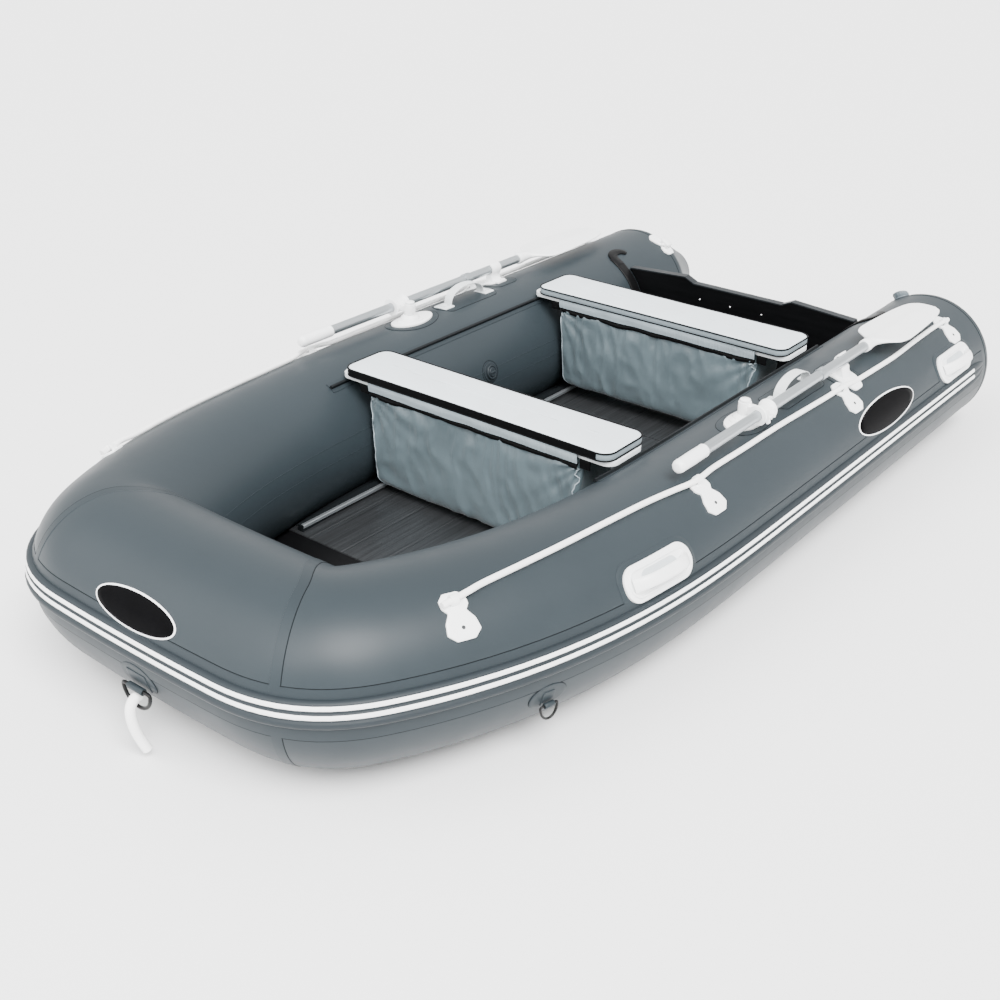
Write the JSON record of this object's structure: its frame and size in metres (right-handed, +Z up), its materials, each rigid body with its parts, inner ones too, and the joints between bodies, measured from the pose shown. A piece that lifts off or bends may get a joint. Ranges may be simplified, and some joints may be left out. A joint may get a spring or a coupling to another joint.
{
  "type": "inflatable dinghy",
  "caption": "Roll-up inflatable dinghy: U-shaped air tubes, aluminium deck, plywood transom, two sliding bench seats with storage bags, stowed swinging oars, grab lines and D-rings",
  "frame": {"origin": "middle of the bounding box in plan, on the ground plane under the tubes", "axes": "+X to port, -Y toward the bow, +Z up"},
  "size_m": [1.6054, 3.0268, 0.488],
  "materials": {
    "tube": "satin",
    "strake": "satin",
    "white": "satin",
    "black": "satin",
    "dring": "satin",
    "cushion": "matte",
    "bag": "satin",
    "deck": "satin",
    "bar": "satin",
    "ply": "satin",
    "skin": "matte",
    "rope": "matte",
    "board": "satin",
    "edge": "satin"
  },
  "bodies": {
    "hull": {"tube_bow": "tube", "tube_port": "tube", "tube_starboard": "tube", "rubbing_strake": "strake", "seat_rail_port": "skin", "seat_rail_starboard": "skin", "transom_flange_port": "black", "transom_flange_starboard": "black", "line_patch_1_port": "white", "line_patch_1_starboard": "white", "line_patch_2_port": "white", "line_patch_2_starboard": "white", "line_patch_3_port": "white", "line_patch_3_starboard": "white", "line_patch_4_port": "white", "line_patch_4_starboard": "white", "carry_handle_bow_port": "white", "carry_handle_bow_starboard": "white", "carry_handle_stern_port": "white", "carry_handle_stern_starboard": "white", "dring_chape_bow": "tube", "dring_chape_port": "tube", "dring_chape_starboard": "tube", "valve_starboard": "strake", "valve_port": "edge", "bottom_skin": "skin", "floor_panel_front": "deck", "floor_panel_middle": "deck", "floor_panel_rear": "deck", "floor_bow_board": "ply", "floor_stringer_port": "bar", "floor_stringer_starboard": "bar", "transom_board": "ply", "transom_cap": "edge", "oarlock_base_port": "white", "oarlock_base_starboard": "white", "oar_keeper_port": "white", "oar_keeper_starboard": "white", "strap_handle_port": "white", "strap_handle_starboard": "white", "grab_line_port": "rope", "grab_line_starboard": "rope"},
    "oar_port": {"oarlock_swivel_port": "white", "oar_shaft_port": "bar", "oar_grip_port": "white", "oar_blade_port": "white"},
    "oar_starboard": {"oarlock_swivel_starboard": "white", "oar_shaft_starboard": "bar", "oar_grip_starboard": "white", "oar_blade_starboard": "white"},
    "bench_front": {"bench_board_front": "board", "cushion_front": "cushion", "bag_front": "bag"},
    "bench_rear": {"bench_board_rear": "board", "cushion_rear": "cushion", "bag_rear": "bag"},
    "ring_bow": {"dring_bow": "dring", "painter_rope": "rope"},
    "ring_port": {"dring_port": "dring"},
    "ring_starboard": {"dring_starboard": "dring"}
  },
  "joints": [
    {"name": "oar_port_swing", "type": "hinge", "parent": "hull", "child": "oar_port", "pos_m": [0.582, 0.043, 0.461], "axis": [0, 0, -1], "range_deg": [0, 90]},
    {"name": "oar_starboard_swing", "type": "hinge", "parent": "hull", "child": "oar_starboard", "pos_m": [-0.582, 0.043, 0.461], "axis": [0, 0, 1], "range_deg": [0, 90]},
    {"name": "bench_front_slide", "type": "slide", "parent": "hull", "child": "bench_front", "axis": [0, 1, 0], "range_m": [-0.04, 0.55]},
    {"name": "bench_rear_slide", "type": "slide", "parent": "hull", "child": "bench_rear", "axis": [0, 1, 0], "range_m": [-0.55, 0.03]},
    {"name": "ring_bow_swing", "type": "hinge", "parent": "hull", "child": "ring_bow", "pos_m": [0, -1.48831, 0.16286], "axis": [1, 0, 0], "range_deg": [-60, 5]},
    {"name": "ring_port_swing", "type": "hinge", "parent": "hull", "child": "ring_port", "pos_m": [0.69934, -0.94861, 0.13786], "axis": [0.2593, 0.9658, 0], "range_deg": [-60, 5]},
    {"name": "ring_starboard_swing", "type": "hinge", "parent": "hull", "child": "ring_starboard", "pos_m": [-0.69934, -0.94861, 0.13786], "axis": [0.2593, -0.9658, 0], "range_deg": [-60, 5]}
  ]
}
